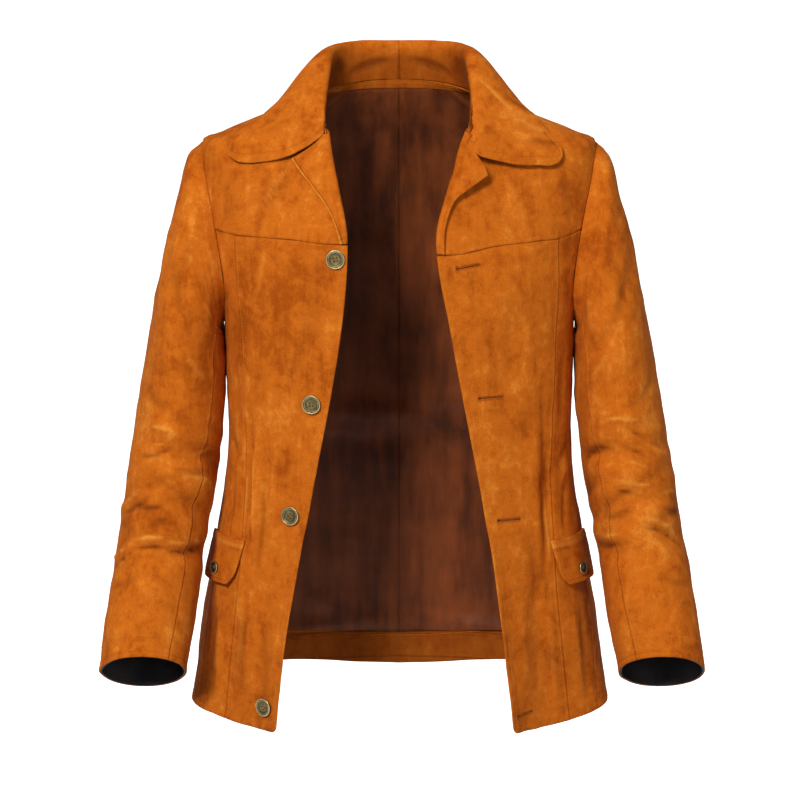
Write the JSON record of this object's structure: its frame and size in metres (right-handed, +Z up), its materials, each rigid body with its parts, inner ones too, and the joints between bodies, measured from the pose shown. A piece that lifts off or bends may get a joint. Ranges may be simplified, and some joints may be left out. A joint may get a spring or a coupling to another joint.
{
  "type": "suede jacket",
  "caption": "Hip-length suede jacket worn open on a hollow form, with a pointed fold-down collar, small lapels, front yokes, flap pockets, metal buttons and a dark satin lining.",
  "frame": {"origin": "middle of the neck opening, at the level of the neck seam, where the wearer's neck holds the jacket", "axes": "+Z up along the wearer, -Y the wearer's front, -X the wearer's right and +X the wearer's left"},
  "size_m": [0.7004, 0.2955, 0.7915],
  "materials": {
    "suede": "orange-tan suede with a mottled nap, paler where it is worn along edges and folds",
    "back_satin": "dark brown satin lining with a low sheen",
    "sleeve_satin": "black satin sleeve lining with a low sheen",
    "brass": "antiqued brass, dark in the dish and rubbed brighter on the rim"
  },
  "bodies": {
    "root": {"back": "suede", "neck_band": "suede", "hem_facing": "suede", "front_yoke_right": "suede", "side_panel_right": "suede", "front_panel_right": "suede", "collar_right": "suede", "lapel_right": "suede", "top_sleeve_right": "suede", "under_sleeve_right": "suede", "pocket_flap_right": "suede", "front_yoke_left": "suede", "side_panel_left": "suede", "front_panel_left": "suede", "collar_left": "suede", "lapel_left": "suede", "top_sleeve_left": "suede", "under_sleeve_left": "suede", "pocket_flap_left": "suede", "back_lining_right": "back_satin", "back_lining_left": "back_satin", "sleeve_lining_right": "sleeve_satin", "sleeve_lining_left": "sleeve_satin", "button_1": "brass", "button_2": "brass", "button_3": "brass", "button_4": "brass", "flap_button_right": "brass", "flap_button_left": "brass"}
  },
  "joints": []
}
